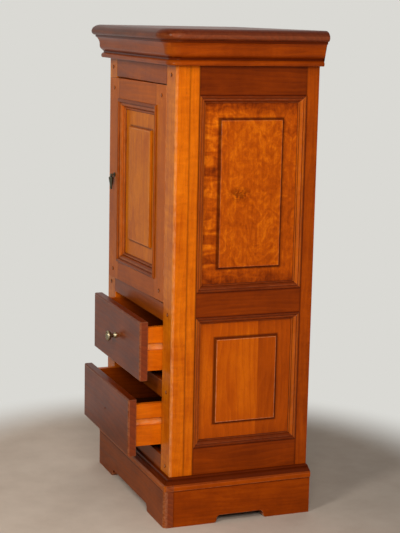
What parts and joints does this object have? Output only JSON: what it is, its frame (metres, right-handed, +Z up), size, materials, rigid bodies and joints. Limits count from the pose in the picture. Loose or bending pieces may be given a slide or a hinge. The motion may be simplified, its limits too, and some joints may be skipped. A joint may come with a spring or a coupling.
{
  "type": "one-door cupboard with drawers",
  "caption": "Tall narrow cherrywood cupboard with a framed panel door over drawers, panelled sides, moulded cornice and bracketed plinth.",
  "frame": {"origin": "centre, on the floor, of the box round the cupboard as it stands, with its drawers drawn out and its door ajar", "axes": "+Z up, +Y from the front to the back, +X to the right as seen from the front"},
  "size_m": [0.612, 0.456, 1.2],
  "materials": {
    "cherry": "satin varnish",
    "drawer_wood": "satin varnish",
    "secondary_wood": "plain planed",
    "brass": "polished",
    "bronze": "dark patina",
    "steel": "plain"
  },
  "bodies": {
    "case": {"back_panel": "secondary_wood", "back_rails": "secondary_wood", "bottom_rail": "cherry", "cornice": "cherry", "cupboard_floor": "cherry", "door_stop": "drawer_wood", "drawer_divider": "cherry", "frame_pegs": "cherry", "frieze_rail": "cherry", "front_post_left": "cherry", "front_post_right": "cherry", "lower_drawer_runners": "drawer_wood", "middle_rail": "cherry", "plinth_back": "secondary_wood", "plinth_front": "cherry", "plinth_glue_blocks": "secondary_wood", "plinth_left": "cherry", "plinth_moulding": "cherry", "plinth_right": "cherry", "rear_post_left": "cherry", "rear_post_right": "cherry", "shelf": "cherry", "shelf_cleats": "drawer_wood", "side_bottom_rail_left": "cherry", "side_bottom_rail_right": "cherry", "side_lower_panel_left": "cherry", "side_lower_panel_right": "cherry", "side_middle_rail_left": "cherry", "side_middle_rail_right": "cherry", "side_mouldings_left": "cherry", "side_mouldings_right": "cherry", "side_stile_left": "cherry", "side_stile_right": "cherry", "side_top_rail_left": "cherry", "side_top_rail_right": "cherry", "side_upper_panel_left": "cherry", "side_upper_panel_right": "cherry", "top_board": "cherry", "upper_drawer_runners": "drawer_wood"},
    "door": {"door_bottom_rail": "cherry", "door_moulding": "cherry", "door_panel": "cherry", "door_pegs": "cherry", "door_pivot_pins": "steel", "door_pull_stud": "bronze", "door_stile_left": "cherry", "door_stile_right": "cherry", "door_top_rail": "cherry"},
    "door_pull": {"door_pull_drop": "bronze"},
    "upper_drawer": {"upper_drawer_back": "drawer_wood", "upper_drawer_bottom": "secondary_wood", "upper_drawer_front": "cherry", "upper_drawer_knob": "brass", "upper_drawer_knob_screw": "steel", "upper_drawer_sides": "drawer_wood"},
    "lower_drawer": {"lower_drawer_back": "drawer_wood", "lower_drawer_bottom": "secondary_wood", "lower_drawer_front": "cherry", "lower_drawer_sides": "drawer_wood"}
  },
  "joints": [
    {"name": "door_swing", "type": "hinge", "parent": "case", "child": "door", "pos_m": [0.177, -0.137, 0.805], "axis": [0, 0, 1], "range_deg": [-2.9, 107]},
    {"name": "door_pull_swing", "type": "hinge", "parent": "door", "child": "door_pull", "pos_m": [-0.15179, -0.16918, 0.817], "axis": [-0.9987, -0.0506, 0], "range_deg": [0, 70]},
    {"name": "upper_drawer_slide", "type": "slide", "parent": "case", "child": "upper_drawer", "axis": [0, -1, 0], "range_m": [-0.058, 0.16]},
    {"name": "lower_drawer_slide", "type": "slide", "parent": "case", "child": "lower_drawer", "axis": [0, -1, 0], "range_m": [-0.085, 0.135]}
  ]
}
